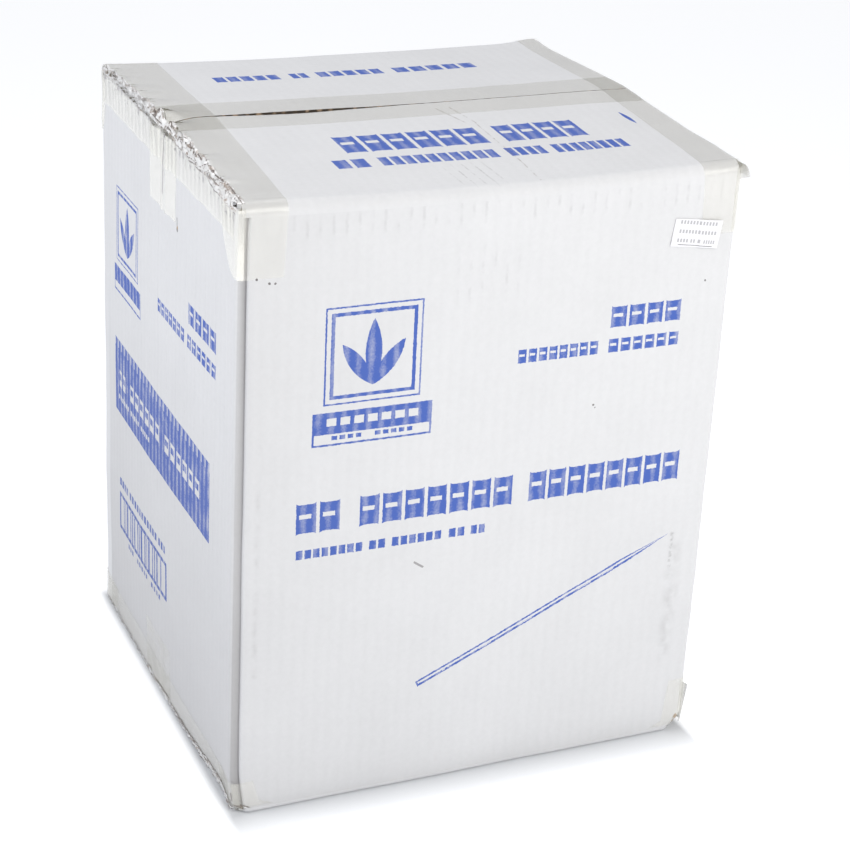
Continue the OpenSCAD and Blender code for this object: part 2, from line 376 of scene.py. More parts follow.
class Graph:
    """Short names for building a node tree"""

    def __init__(self, tree):
        self.tree = tree

    def feed(self, socket, value):
        """Links an output to a socket, or sets the socket's value"""
        if isinstance(value, bpy.types.NodeSocket):
            self.tree.links.new(value, socket)
        else:
            socket.default_value = value

    def node(self, kind, inputs=None, **options):
        """Adds a node with its options and inputs"""
        made = self.tree.nodes.new(kind)
        for key, value in options.items():
            setattr(made, key, value)
        for key, value in (inputs or {}).items():
            self.feed(made.inputs[key], value)
        return made

    def sum(self, operation, *values):
        """Result of one sum"""
        made = self.tree.nodes.new("ShaderNodeMath")
        made.operation = operation
        for socket, value in zip(made.inputs, values):
            self.feed(socket, value)
        return made.outputs[0]

    def add(self, a, b):
        return self.sum("ADD", a, b)

    def take(self, a, b):
        return self.sum("SUBTRACT", a, b)

    def times(self, a, b):
        return self.sum("MULTIPLY", a, b)

    def most(self, *values):
        """Union of masks"""
        whole = values[0]
        for value in values[1:]:
            whole = self.sum("MAXIMUM", whole, value)
        return whole

    def less(self, a, b):
        return self.sum("LESS_THAN", a, b)

    def near(self, value, centre, reach):
        """1 where a value is within reach of its centre"""
        return self.sum("COMPARE", value, centre, reach)

    def box(self, u, v, u0, u1, v0, v1):
        """Filled rectangle"""
        return self.times(
            self.near(u, (u0 + u1) / 2, (u1 - u0) / 2), self.near(v, (v0 + v1) / 2, (v1 - v0) / 2)
        )

    def frame(self, u, v, u0, u1, v0, v1, line):
        """Outline of a rectangle"""
        inner = self.box(u, v, u0 + line, u1 - line, v0 + line, v1 - line)
        return self.take(self.box(u, v, u0, u1, v0, v1), inner)

    def reach(self, u, v, u0, v0):
        """Distance from a point"""
        return self.sum(
            "SQRT",
            self.add(self.sum("POWER", self.take(u, u0), 2.0), self.sum("POWER", self.take(v, v0), 2.0)),
        )

    def patch(self, u, v, u0, u1, v0, v1, soft):
        """Rectangle that fades out towards its rim"""
        fades = []
        for value, low, high in ((u, u0, u1), (v, v0, v1)):
            away = self.sum("ABSOLUTE", self.take(value, (low + high) / 2))
            inside = self.times(self.take((high - low) / 2, away), 1 / soft)
            fades.append(self.node("ShaderNodeClamp", {"Value": inside}).outputs[0])
        return self.times(*fades)

    def blend(self, share, first, second, kind="MIX"):
        """Mix of two colours"""
        made = self.node("ShaderNodeMix", data_type="RGBA", blend_type=kind)
        for key, value in ((0, share), (6, first), (7, second)):
            self.feed(made.inputs[key], value)
        return made.outputs[2]

    def span(self, value, low, high, to_low, to_high):
        """Value moved from one range to another, and held at its ends"""
        return self.node(
            "ShaderNodeMapRange",
            {"Value": value, "From Min": low, "From Max": high, "To Min": to_low, "To Max": to_high},
        ).outputs["Result"]

    def speckle(self, place, scale, detail=2.0, twist=0.0):
        """Noise from 0 to 1"""
        return self.node(
            "ShaderNodeTexNoise", {"Vector": place, "Scale": scale, "Detail": detail, "Distortion": twist}
        ).outputs["Fac"]

    def place(self):
        """Place in the object's own axes"""
        return self.node("ShaderNodeTexCoord").outputs["Object"]

    def axes(self, place):
        """X, Y and Z of a place"""
        return self.node("ShaderNodeSeparateXYZ", {"Vector": place}).outputs

    def ripple(self, value):
        """Wave of the flutes along a value in metres"""
        return self.sum("COSINE", self.times(value, 2 * math.pi / board().flute_pitch))

    def cane_row(self, u, v, top, bottom, canes, gap=0.10, lit=0.0):
        """Row of plain bamboo canes, (start, end, number of joints) each, with a highlight where lit"""
        middle, half = (top + bottom) / 2, (bottom - top) / 2
        away = self.sum("ABSOLUTE", self.take(v, middle))
        drawn = []
        for start, end, joints in canes:
            part = self.sum("FRACT", self.times(self.take(u, start), joints / (end - start)))
            swell = self.sum("POWER", self.sum("ABSOLUTE", self.take(self.times(part, 2.0), 1.0)), 6.0)
            edge = self.add(self.times(swell, 0.22 * half), 0.78 * half)
            cane = self.times(self.less(away, edge), self.near(part, 0.5, 0.5 - gap / 2))
            if lit:
                slot = self.times(
                    self.near(part, 0.46, 0.26), self.near(v, middle - 0.12 * half, lit * half)
                )
                cane = self.times(cane, self.take(1.0, slot))
            drawn.append(self.times(cane, self.near(u, (start + end) / 2, (end - start) / 2)))
        return self.most(*drawn)

    def turned(self, u, v, start, end):
        """Distance along a line from its start, distance across it, and its length"""
        length = math.dist(start, end)
        du, dv = (end[0] - start[0]) / length, (end[1] - start[1]) / length
        ru, rv = self.take(u, start[0]), self.take(v, start[1])
        along = self.add(self.times(ru, du), self.times(rv, dv))
        return along, self.add(self.times(ru, -dv), self.times(rv, du)), length

    def stroke(self, u, v, start, end, width):
        """Straight line from one point to another"""
        along, across, length = self.turned(u, v, start, end)
        return self.times(self.near(along, length / 2, length / 2), self.near(across, 0.0, width / 2))

    def leaf(self, u, v, root, tip, fat):
        """Leaf with a point at each end, the overlap of two discs"""
        mid = ((root[0] + tip[0]) / 2, (root[1] + tip[1]) / 2)
        half = math.dist(root, tip) / 2
        radius = (half * half + fat * fat) / (2 * fat)
        across = ((tip[1] - root[1]) / (2 * half), (root[0] - tip[0]) / (2 * half))
        aside = radius - fat
        centres = [
            (mid[0] + side * across[0] * aside, mid[1] + side * across[1] * aside) for side in (-1, 1)
        ]
        return self.times(*(self.less(self.reach(u, v, *centre), radius) for centre in centres))


def make_group(name, inputs, outputs):
    """Empty shader group with named inputs and outputs, and its graph"""
    tree = bpy.data.node_groups.new(name, "ShaderNodeTree")
    for socket, kind, value in inputs:
        made = tree.interface.new_socket(socket, in_out="INPUT", socket_type=kind)
        made.default_value = value
    for socket, kind in outputs:
        tree.interface.new_socket(socket, in_out="OUTPUT", socket_type=kind)
    return tree, Graph(tree), tree.nodes.new("NodeGroupInput"), tree.nodes.new("NodeGroupOutput")


def use_group(graph, name, inputs):
    """Places a group in a graph"""
    made = graph.tree.nodes.new("ShaderNodeGroup")
    made.node_tree = bpy.data.node_groups[name]
    for key, value in inputs.items():
        graph.feed(made.inputs[key], value)
    return made


FLOAT = "NodeSocketFloat"
COLOUR = "NodeSocketColor"
VECTOR = "NodeSocketVector"


def flute_group():
    """Washboard of the flutes under the facing: a wave across one direction"""
    tree, g, into, out = make_group(
        "Flutes", [("Across", FLOAT, 0.0), ("Place", VECTOR, (0, 0, 0))], [("Wave", FLOAT)],
    )
    place = into.outputs["Place"]
    shifted = g.add(into.outputs["Across"], g.times(g.speckle(place, 9.0, 1.0), 1.5 * MM))
    g.feed(out.inputs["Wave"], g.times(g.ripple(shifted), g.add(g.speckle(place, 16.0), 0.2)))
    return tree


def ink_group():
    """Lays ink on the facing through a mask: bleeding edges, mottling and streaks of missed ink"""
    tree, g, into, out = make_group(
        "Ink",
        [
            ("Mask", FLOAT, 0.0), ("Wave", FLOAT, 0.0), ("Place", VECTOR, (0, 0, 0)),
            ("Paper", COLOUR, (1, 1, 1, 1)), ("Ink", COLOUR, (0, 0, 1, 1)), ("Missed", FLOAT, 0.5),
        ],
        [("Colour", COLOUR), ("Cover", FLOAT)],
    )
    place = into.outputs["Place"]
    grain = g.add(g.times(g.speckle(place, 900.0), 0.35), g.times(g.speckle(place, 120.0, 3.0), 0.4))
    thin = g.span(g.add(grain, g.times(into.outputs["Wave"], 0.16)), 0.34, 0.62, 0.0, 1.0)
    cover = g.times(g.take(1.0, g.times(thin, into.outputs["Missed"])), into.outputs["Mask"])
    g.feed(out.inputs["Colour"], g.blend(cover, into.outputs["Paper"], into.outputs["Ink"]))
    g.feed(out.inputs["Cover"], cover)
    return tree


def paper_group():
    """White facing of the board: mottling, grey handling dirt and the flutes showing through"""
    tree, g, into, out = make_group(
        "Facing",
        [("Place", VECTOR, (0, 0, 0)), ("Wave", FLOAT, 0.0), ("Liner", COLOUR, (1, 1, 1, 1))],
        [("Colour", COLOUR), ("Height", FLOAT)],
    )
    place, wave = into.outputs["Place"], into.outputs["Wave"]
    fibre = g.speckle(place, 350.0, 4.0)
    shade = g.add(g.times(fibre, 0.10), g.times(g.speckle(place, 22.0, 4.0), 0.12))
    level = g.span(g.add(shade, g.times(wave, 0.012)), 0.0, 0.24, 0.90, 1.08)
    g.feed(out.inputs["Colour"], g.blend(1.0, into.outputs["Liner"], level, "MULTIPLY"))
    g.feed(out.inputs["Height"], g.add(g.times(wave, 0.5), g.times(fibre, 0.25)))
    return tree


# Print: each group takes U to the right and V down from a wall's top left corner, in thousandths of
# the front wall's width, and puts out a mask

def drawn_group(name, draw, outputs):
    """Group that draws a print or the wear of a wall"""
    tree, g, into, out = make_group(
        name, [("U", FLOAT, 0.0), ("V", FLOAT, 0.0), ("Place", VECTOR, (0, 0, 0))],
        [(output, FLOAT) for output in outputs],
    )
    place = into.outputs["Place"]
    rough = g.times(g.take(g.speckle(place, 700.0, 1.0), 0.5), 2.6)
    u = g.add(into.outputs["U"], rough)
    v = g.add(into.outputs["V"], rough)
    for output, mask in zip(outputs, draw(g, u, v, place)):
        g.feed(out.inputs[output], mask)
    return tree


def leaf_emblem(g, u, v, cu, cv, size):
    """Three leaves in a square double frame"""
    outer = g.frame(u, v, cu - size, cu + size, cv - size, cv + size, 0.035 * size)
    inner = g.frame(
        u, v, cu - 0.88 * size, cu + 0.88 * size, cv - 0.88 * size, cv + 0.88 * size, 0.075 * size
    )
    root = (cu, cv + 0.66 * size)
    leaves = [
        g.leaf(u, v, root, (cu + 1.22 * size * math.sin(lean), root[1] - reach * math.cos(lean)), fat)
        for lean, reach, fat in (
            (math.radians(-32), 1.05 * size, 0.15 * size),
            (0.0, 1.36 * size, 0.17 * size),
            (math.radians(32), 1.05 * size, 0.15 * size),
        )
    ]
    return g.most(outer, inner, *leaves)


def skewer_figure(g, u, v, place, blunt, tip):
    """Plain stick drawn as a double line, broken here and there, pointed at one end"""
    fat, point = 6.6, 110
    along, across, length = g.turned(u, v, blunt, tip)
    half = g.span(along, length - point, length, fat, 0.0)
    body = g.times(g.less(g.sum("ABSOLUTE", across), half), g.near(along, length / 2, length / 2))
    lit = g.less(g.sum("ABSOLUTE", g.add(across, 0.5)), g.times(half, 0.34))
    missed = g.times(g.near(across, 2.9, 0.7), g.less(0.55, g.speckle(place, 75.0)))
    lit = g.most(g.times(lit, g.less(0.36, g.speckle(place, 42.0))), missed)
    ends = g.near(along, length / 2, length / 2 - 4)
    return g.take(body, g.times(lit, g.times(ends, body)))


def draw_front(g, u, v, place):
    """Print of the front and back walls"""
    emblem = leaf_emblem(g, u, v, 256, 306, 96)
    banner = g.box(u, v, 140, 378, 416, 456)
    holes = g.cane_row(u, v, 426, 446, ((164, 354, 7),), 0.3)
    under = g.frame(u, v, 140, 378, 456, 484, 4)
    small = g.cane_row(u, v, 463, 474, ((176, 240, 4), (262, 342, 5)), 0.3)
    code = g.cane_row(u, v, 264, 317, ((740, 898, 4),), 0.16, 0.12)
    count = g.cane_row(u, v, 332, 367, ((548, 722, 8), (740, 898, 6)), 0.22, 0.14)
    title = g.cane_row(u, v, 590, 666, ((110, 204, 2), (237, 560, 7), (590, 930, 8)), 0.15, 0.12)
    below = g.cane_row(
        u, v, 691, 715, ((113, 250, 8), (260, 297, 2), (307, 413, 6), (425, 462, 2), (472, 505, 2)), 0.24
    )
    stick = skewer_figure(g, u, v, place, (377, 1033), (922, 782))
    banner = g.times(banner, g.take(1.0, holes))
    return (g.most(emblem, banner, under, small, code, count, title, below, stick),)


def draw_side(g, u, v, _place):
    """Print of the side walls"""
    emblem = leaf_emblem(g, u, v, 200, 306, 82)
    banner = g.box(u, v, 100, 300, 402, 436)
    under = g.frame(u, v, 100, 300, 436, 460, 4)
    code = g.cane_row(u, v, 289, 341, ((630, 800, 4),), 0.16, 0.12)
    count = g.cane_row(u, v, 356, 391, ((427, 608, 7), (624, 800, 6)), 0.22, 0.14)
    band = g.box(u, v, 100, 772, 570, 740)
    title = g.cane_row(u, v, 632, 680, ((130, 186, 2), (214, 446, 6), (474, 716, 6)), 0.30, 0.30)
    below = g.cane_row(u, v, 694, 708, ((125, 210, 6), (222, 290, 5), (302, 372, 5)), 0.35)
    skips = g.times(g.less(g.sum("FRACT", g.times(u, 1 / 24.7)), 0.3), g.near(v, 580, 9))
    band = g.times(band, g.take(1.0, g.most(title, below, g.times(skips, 0.6))))
    line = g.cane_row(u, v, 893, 916, ((128, 200, 4), (208, 420, 11), (428, 480, 3)), 0.30)
    fence = g.frame(u, v, 127, 487, 931, 1021, 9)
    uneven = g.add(u, g.times(g.sum("SINE", g.times(u, 0.11)), 5.0))
    bars = g.times(g.box(u, v, 160, 450, 941, 1012), g.less(g.sum("FRACT", g.times(uneven, 1 / 19)), 0.45))
    marks = g.cane_row(u, v, 1028, 1043, ((192, 240, 3), (262, 350, 5), (372, 445, 4)), 0.4)
    return (g.most(emblem, banner, under, code, count, band, line, fence, bars, marks),)


def draw_top(g, u, v, _place):
    """Print of the top flaps"""
    far = g.cane_row(u, v, 158, 210, ((185, 330, 5), (352, 392, 2), (410, 560, 5), (582, 775, 5)), 0.22)
    big = g.cane_row(u, v, 614, 724, ((273, 575, 6), (605, 785, 4)), 0.16, 0.12)
    small = g.cane_row(u, v, 742, 797, ((227, 300, 2), (318, 560, 10), (578, 660, 4), (676, 835, 8)), 0.24)
    drip = g.leaf(u, v, (904, 600), (909, 672), 5)
    return (g.most(far, big, small, drip),)


# Wear: each group takes the same U and V, and puts out how dirty and how torn the board is; on the front
# and left walls the dirt carries painted shade too

def wear_and_shade_front(g, u, v, place):
    """Bruises beside the top fold, one to each flute, scuffs, a crease, a nick, specks, torn corners, and
    painted shade darker towards the bottom and the left
    """
    blot = g.span(g.speckle(place, 110.0, 3.0), 0.42, 0.66, 0.0, 1.0)
    fine = g.span(g.speckle(place, 420.0, 3.0), 0.40, 0.66, 0.0, 1.0)
    ribs = g.span(g.sum("COSINE", g.times(g.add(u, 3.0), 2 * math.pi / 24.7)), 0.5, 1.0, 0.0, 1.0)
    bruise = g.most(g.patch(u, v, 20, 980, 26, 80, 14), g.patch(u, v, 390, 560, 110, 240, 40))
    bruise = g.times(ribs, bruise)
    scuff = g.patch(u, v, 912, 962, 792, 1092, 24)
    stain = g.patch(u, v, 30, 45, 520, 960, 8)
    crease = g.patch(u, v, 924, 936, 779, 864, 5)
    nick = g.stroke(u, v, (357, 755), (377, 769), 4.4)
    specks = g.most(*(
        g.less(g.reach(u, v, at_u, at_v), radius)
        for at_u, at_v, radius in (
            (52, 152, 2.4), (63, 153, 2.4), (28, 142, 2.4),
            (944, 236, 2.0), (720, 470, 2.4), (724, 476, 1.6),
        )
    ))
    dirt_and_shade = g.times(g.most(g.times(scuff, 0.16), g.times(stain, 0.14), g.times(bruise, 0.13)), blot)
    dirt_and_shade = g.most(dirt_and_shade, g.times(crease, g.times(fine, 0.4)), g.times(nick, 0.6), g.times(specks, 0.85))
    # Painted shade: darker towards the foot of the wall and towards its left end
    grey = g.add(g.span(v, 600.0, 1262.0, 0.0, 0.06), g.span(u, 40.0, 450.0, 0.06, 0.0))
    dirt_and_shade = g.add(dirt_and_shade, grey)
    frayed = g.times(g.take(g.speckle(place, 260.0, 3.0), 0.5), 26.0)
    right = g.less(g.add(g.reach(g.times(u, 2.0), v, 1974, 1240), frayed), 17.0)
    left = g.less(g.add(g.reach(u, v, 4, 1250), frayed), 12.0)
    dirt_and_shade = g.most(dirt_and_shade, g.times(right, g.span(g.speckle(place, 500.0, 3.0), 0.4, 0.6, 0.0, 0.6)))
    return dirt_and_shade, g.most(g.times(right, g.less(0.40, g.speckle(place, 330.0, 2.0))), left)


def wear_and_shade_side(g, u, v, place):
    """Scratches, a nick below the tab of the seam strip, painted shade on the recessed tab of the glued
    joint, and painted shade darker towards the bottom
    """
    fine = g.span(g.speckle(place, 300.0, 3.0), 0.42, 0.66, 0.0, 1.0)
    nick = g.most(g.stroke(u, v, (550, 152), (551, 172), 4), g.less(g.reach(u, v, 552, 176), 4.5))
    lines = g.times(g.less(g.sum("FRACT", g.times(u, 1 / 61)), 0.05), g.patch(u, v, 40, 900, 150, 820, 60))
    axes = g.axes(place)
    # Painted shade in the recess of the glued joint: darker towards the front wall's cut edge and towards
    # the top
    deeper_shade = g.times(
        g.span(axes[0], -0.5 * MM - HALF_W, 3.6 * MM - HALF_W, 0.0, 0.40), g.span(v, 150.0, 800.0, 1.0, 0.2)
    )
    tab = g.add(g.span(axes[0], -1.6 * MM - HALF_W, -0.8 * MM - HALF_W, 0.0, 0.26), deeper_shade)
    tab = g.times(tab, g.span(axes[1], 2.8 * MM - HALF_D, 4.4 * MM - HALF_D, 1.0, 0.0))
    torn = g.less(g.reach(u, v, 552, 172), 4.0)
    dirt_and_shade = g.most(g.times(nick, 0.75), g.times(g.times(lines, fine), 0.10), tab)
    # Painted shade: darker towards the bottom of the wall
    return g.add(dirt_and_shade, g.span(v, 400.0, 1262.0, 0.0, 0.28)), torn


def wear_top(g, u, v, place):
    """Two creases across the front flap, and rubbed streaks beside the front fold"""
    fine = g.span(g.speckle(place, 240.0, 3.0), 0.40, 0.62, 0.0, 1.0)
    creases = g.most(
        g.stroke(u, v, (545, 500), (571, 600), 3), g.stroke(u, v, (575, 500), (590, 600), 3.6),
        g.stroke(u, v, (588, 600), (582, 912), 2.6),
    )
    rubbed = g.times(
        g.less(g.sum("FRACT", g.times(g.add(u, g.times(v, -0.08)), 1 / 21)), 0.16),
        g.patch(u, v, 410, 530, 800, 925, 30),
    )
    dirt_and_shade = g.times(g.most(g.times(creases, 0.45), g.times(rubbed, 0.30)), fine)
    return dirt_and_shade, g.times(g.times(creases, fine), 0.15)


def no_wear(_g, _u, _v, _place):
    """Clean board"""
    return 0.0, 0.0


def printed_board(name, across, u_of, v_of, print_name, wear_and_shade_name, missed):
    """Facing with flutes and print. across, u_of and v_of are (axis, sign, start) on the object's axes"""
    material = bpy.data.materials.new(name)
    material.use_nodes = True
    tree = material.node_tree
    g = Graph(tree)
    shader = tree.nodes["Principled BSDF"]
    place = g.place()
    axes = g.axes(place)
    wave = use_group(g, "Flutes", {"Across": axes[across], "Place": place}).outputs["Wave"]
    facing = use_group(g, "Facing", {"Place": place, "Wave": wave, "Liner": (*board().liner, 1)})
    colour = facing.outputs["Colour"]
    if print_name:
        unit = 2 * HALF_W / 1000

        def measure(rule):
            axis, sign, start = rule
            return g.times(g.take(g.times(axes[axis], sign), start), 1 / unit)

        where = {"U": measure(u_of), "V": measure(v_of), "Place": place}
        mask = use_group(g, print_name, where).outputs["Mask"]
        worn_and_shaded = use_group(g, wear_and_shade_name, where)
        colour = use_group(
            g, "Ink",
            {
                "Mask": mask, "Wave": wave, "Place": place, "Paper": colour,
                "Ink": (*board().ink, 1), "Missed": missed,
            },
        ).outputs["Colour"]
        # Dirt darkens the board towards grey, and so does the painted shade of the front and left walls
        colour = g.blend(worn_and_shaded.outputs["Dirt And Shade"], colour, (0.13, 0.12, 0.12, 1))
        colour = g.blend(worn_and_shaded.outputs["Torn"], colour, (*board().kraft, 1))
    g.feed(shader.inputs["Base Color"], colour)
    shader.inputs["Roughness"].default_value = 0.62
    shader.inputs["Specular IOR Level"].default_value = 0.35
    bump = g.node(
        "ShaderNodeBump",
        {"Height": facing.outputs["Height"], "Strength": 0.28, "Distance": 0.35 * MM},
    )
    g.feed(shader.inputs["Normal"], bump.outputs["Normal"])
    return material


def kraft_board():
    """Brown inside of the board at cut edges. At the battered left edge the white facing folds over it"""
    material = bpy.data.materials.new("kraft_board")
    material.use_nodes = True
    g = Graph(material.node_tree)
    shader = material.node_tree.nodes["Principled BSDF"]
    place = g.place()
    axes = g.axes(place)
    shade = g.span(g.speckle(place, 600.0, 4.0), 0.0, 1.0, 0.6, 1.3)
    brown = g.blend(1.0, (*board().kraft, 1), shade, "MULTIPLY")
    # Open flutes show as dark spots along the edge: painted shade in their hollows
    flutes = g.times(g.ripple(axes[0]), 0.10)
    open_flute_shade = g.span(g.add(flutes, g.speckle(place, 90.0, 3.0, 1.0)), 0.36, 0.48, 0.0, 0.92)
    brown = g.blend(open_flute_shade, brown, (0.02, 0.015, 0.012, 1))
    folded = g.times(g.less(axes[0], 5 * MM - HALF_W), g.less(0.45, g.speckle(place, 150.0, 3.0, 0.8)))
    g.feed(shader.inputs["Base Color"], g.blend(folded, brown, (*board().liner, 1)))
    shader.inputs["Roughness"].default_value = 0.85
    return material


def crumple_group():
    """Broken paper and film along the left edges: how far it hides the board, its colour with painted
    highlights and shade, and relief
    """
    tree, g, into, out = make_group(
        "Crumple", [("Place", VECTOR, (0, 0, 0))],
        [("Cover", FLOAT), ("Colour", COLOUR), ("Height", FLOAT)],
    )
    axes = g.axes(into.outputs["Place"])
    # Everything in the broken band is drawn out along the edge
    place = g.node(
        "ShaderNodeVectorMath", {0: into.outputs["Place"], 1: (1.0, 0.45, 1.0)}, operation="MULTIPLY"
    ).outputs[0]
    inward, y = g.add(axes[0], HALF_W), axes[1]
    wobble = g.times(g.take(g.speckle(place, 140.0, 3.0), 0.5), 7 * MM)
    # Distance in from an edge along the sheet, less than nothing down or up the wall
    down = g.sum("MAXIMUM", g.take(fold_z() + 2 * MM, axes[2]), 0.0)
    top = g.add(g.take(inward, down), wobble)
    base = g.add(g.take(inward, axes[2]), g.times(wobble, 0.6))
    depth = g.add(g.span(y, -HALF_D, 0.0, 12 * MM, 3.5 * MM), g.span(y, 0.0, HALF_D, 0.0, 1.5 * MM))
    below = g.add(top, depth)
    side = g.near(y, 0.0, HALF_D - 3 * MM)
    band = g.times(g.times(g.less(top, 1.5 * MM), g.less(0.0, below)), side)
    base_band = g.times(g.less(base, 2.0 * MM), g.less(-4.5 * MM, base))
    base_band = g.times(g.times(base_band, g.less(axes[2], 30 * MM)), side)
    edge = g.most(band, base_band)
    share = g.span(y, 0.0, 0.06, 1.0, 0.45)
    mottle = g.speckle(place, 260.0, 3.0, 0.8)
    cracked = g.speckle(place, 170.0, 4.0, 1.2)
    # White torn facing, and painted highlights on the crumpled film
    white = g.times(edge, g.less(0.44, mottle))
    brown = g.times(edge, g.near(mottle, 0.405, 0.022))
    ridge = g.times(g.times(g.near(top, -0.4 * MM, 0.5 * MM), side), g.less(0.47, cracked))
    hem = g.times(g.near(below, 0.3 * MM, 0.4 * MM), g.times(g.near(y, -0.07, 0.075), g.less(0.49, mottle)))
    floor_line = g.times(g.times(g.near(base, -4.2 * MM, 0.5 * MM), side), g.less(0.45, cracked))
    cracks = g.most(g.times(edge, g.near(cracked, 0.5, 0.010)), ridge, hem, floor_line)
    dashes = g.times(g.times(g.near(below, -3.0 * MM, 2.6 * MM), side), g.less(0.52, mottle))
    flutes = g.less(0.35, g.ripple(y))
    dashes = g.times(g.times(dashes, flutes), 0.35)
    # Creased tape across the lower left corner of the front wall, with a painted highlight between its
    # creases
    u, z = g.times(inward, 1 / MM), g.times(axes[2], 1 / MM)
    creased = g.most(
        g.stroke(u, z, (0.5, 7.8), (6.6, 7.2), 0.8), g.stroke(u, z, (6.4, 7.3), (15.5, 1.8), 0.8),
        g.stroke(u, z, (6.2, 4.6), (15.5, 0.6), 0.7),
    )
    front = g.less(axes[1], 3 * MM - HALF_D)
    cracks = g.most(cracks, g.times(creased, front))
    white = g.most(white, g.times(g.stroke(u, z, (7.5, 5.4), (15.0, 1.7), 1.6), front))
    slit = g.times(g.near(y, 2.6 * MM - HALF_D, 0.6 * MM), g.near(z, 13.0, 3.2))
    cracks = g.most(cracks, g.times(slit, g.less(axes[0], 3 * MM - HALF_W)))
    # A painted highlight on a fold of film, between two dark lines, along the foot of the left wall
    foot = g.times(g.near(y, 105 * MM - HALF_D, 36 * MM), g.less(axes[2], 12 * MM))
    white = g.most(white, g.times(g.near(base, -1.6 * MM, 1.1 * MM), foot))
    lines = g.most(g.near(base, -3.2 * MM, 0.4 * MM), g.near(base, -0.1 * MM, 0.4 * MM))
    cracks = g.most(cracks, g.times(lines, foot))
    # The tab of the seam strip is creased down its middle, with painted shade along the crease
    crease = g.times(g.near(y, 2.0 * MM, 0.45 * MM), g.near(axes[2], fold_z() - 25 * MM, 18 * MM))
    dashes = g.most(dashes, g.times(crease, 0.45))
    left = g.less(axes[0], -0.10)
    cover = g.most(g.times(white, 0.66), g.times(brown, 0.45), g.times(cracks, 0.65))
    cover = g.most(g.times(cover, share), dashes)
    g.feed(out.inputs["Cover"], g.times(cover, left))
    colour = g.blend(g.less(0.01, dashes), (0.84, 0.84, 0.84, 1), (0.30, 0.28, 0.30, 1))
    colour = g.blend(brown, colour, (0.38, 0.27, 0.20, 1))
    colour = g.blend(cracks, colour, (0.12, 0.085, 0.065, 1))
    g.feed(out.inputs["Colour"], colour)
    g.feed(out.inputs["Height"], g.times(g.times(edge, left), mottle))
    return tree


def packing_tape(name, hold, tint):
    """Clear film with glue mottling beneath and fine wrinkles, as opaque as hold"""
    material = bpy.data.materials.new(name)
    material.use_nodes = True
    g = Graph(material.node_tree)
    shader = material.node_tree.nodes["Principled BSDF"]
    place = g.place()
    broken = use_group(g, "Crumple", {"Place": place})
    shade = g.span(g.speckle(place, 60.0, 4.0, 1.5), 0.3, 0.7, 0.88, 1.06)
    film = g.blend(1.0, (*tint, 1), shade, "MULTIPLY")
    # Painted shade greys it on the top, and painted light brightens it on the left wall, where the flutes
    # show through it as lines of painted shade
    axes = g.axes(place)
    on_top = g.span(axes[2], fold_z() - 9 * MM, fold_z() - 3 * MM, 0.0, 0.72)
    on_left = g.times(g.less(axes[0], 1 * MM - HALF_W), g.near(axes[2], fold_z() - 104 * MM, 100 * MM))
    film = g.blend(on_top, film, (0.22, 0.20, 0.12, 1))
    film = g.blend(on_left, film, (0.93, 0.92, 0.86, 1))
    ribs = g.span(g.ripple(axes[1]), -1.0, 1.0, 0.0, 0.35)
    ribs = g.times(ribs, g.span(axes[2], fold_z() - 30 * MM, fold_z() - 14 * MM, 0.0, 1.0))
    film = g.blend(g.times(ribs, on_left), film, (0.2, 0.2, 0.2, 1))
    # More opaque on the left wall, so that the painted light shows
    hold = g.add(g.times(on_left, 0.16), hold)
    cover = broken.outputs["Cover"]
    g.feed(shader.inputs["Base Color"], g.blend(g.less(hold, cover), film, broken.outputs["Colour"]))
    g.feed(shader.inputs["Alpha"], g.sum("MAXIMUM", cover, hold))
    shader.inputs["Roughness"].default_value = 0.26
    # The film mirrors more than so thin a cover would let through
    shader.inputs["IOR"].default_value = 2.6
    creases = g.speckle(place, 210.0, 2.0, 2.0)
    bump = g.node(
        "ShaderNodeBump",
        {
            "Height": g.add(creases, g.times(broken.outputs["Height"], 4.0)),
            "Strength": 0.4, "Distance": 0.5 * MM,
        },
    )
    g.feed(shader.inputs["Normal"], bump.outputs["Normal"])
    return material


def label_paper():
    """Smooth white label with rows of plain grey marks and a rule"""
    material = bpy.data.materials.new("label_paper")
    material.use_nodes = True
    g = Graph(material.node_tree)
    shader = material.node_tree.nodes["Principled BSDF"]
    axes = g.axes(g.place())
    turn = math.radians(LABEL_TURN)
    x = g.take(axes[0], HALF_W - LABEL_IN)
    z = g.take(axes[2], fold_z() - LABEL_DOWN)
    u = g.times(g.take(g.times(x, math.cos(turn)), g.times(z, math.sin(turn))), 1 / MM)
    v = g.times(g.add(g.times(x, math.sin(turn)), g.times(z, math.cos(turn))), -1 / MM)
    rows = g.most(
        g.cane_row(u, v, -7.6, -4.7, ((-13.0, 13.5, 12),), 0.42),
        g.cane_row(u, v, -1.7, 1.2, ((-12.7, 14.0, 12),), 0.42),
        g.cane_row(u, v, 4.1, 7.0, ((-13.0, -4.5, 4), (-3.5, 0.5, 2), (1.5, 4.0, 1), (5.5, 14.0, 5)), 0.42),
    )
    rule = g.box(u, v, -11.5, 12.5, 8.1, 8.5)
    ink = g.most(g.times(rows, 0.52), rule)
    colour = g.blend(ink, (0.77, 0.77, 0.80, 1), (0.12, 0.12, 0.14, 1))
    g.feed(shader.inputs["Base Color"], colour)
    shader.inputs["Roughness"].default_value = 0.45
    return material


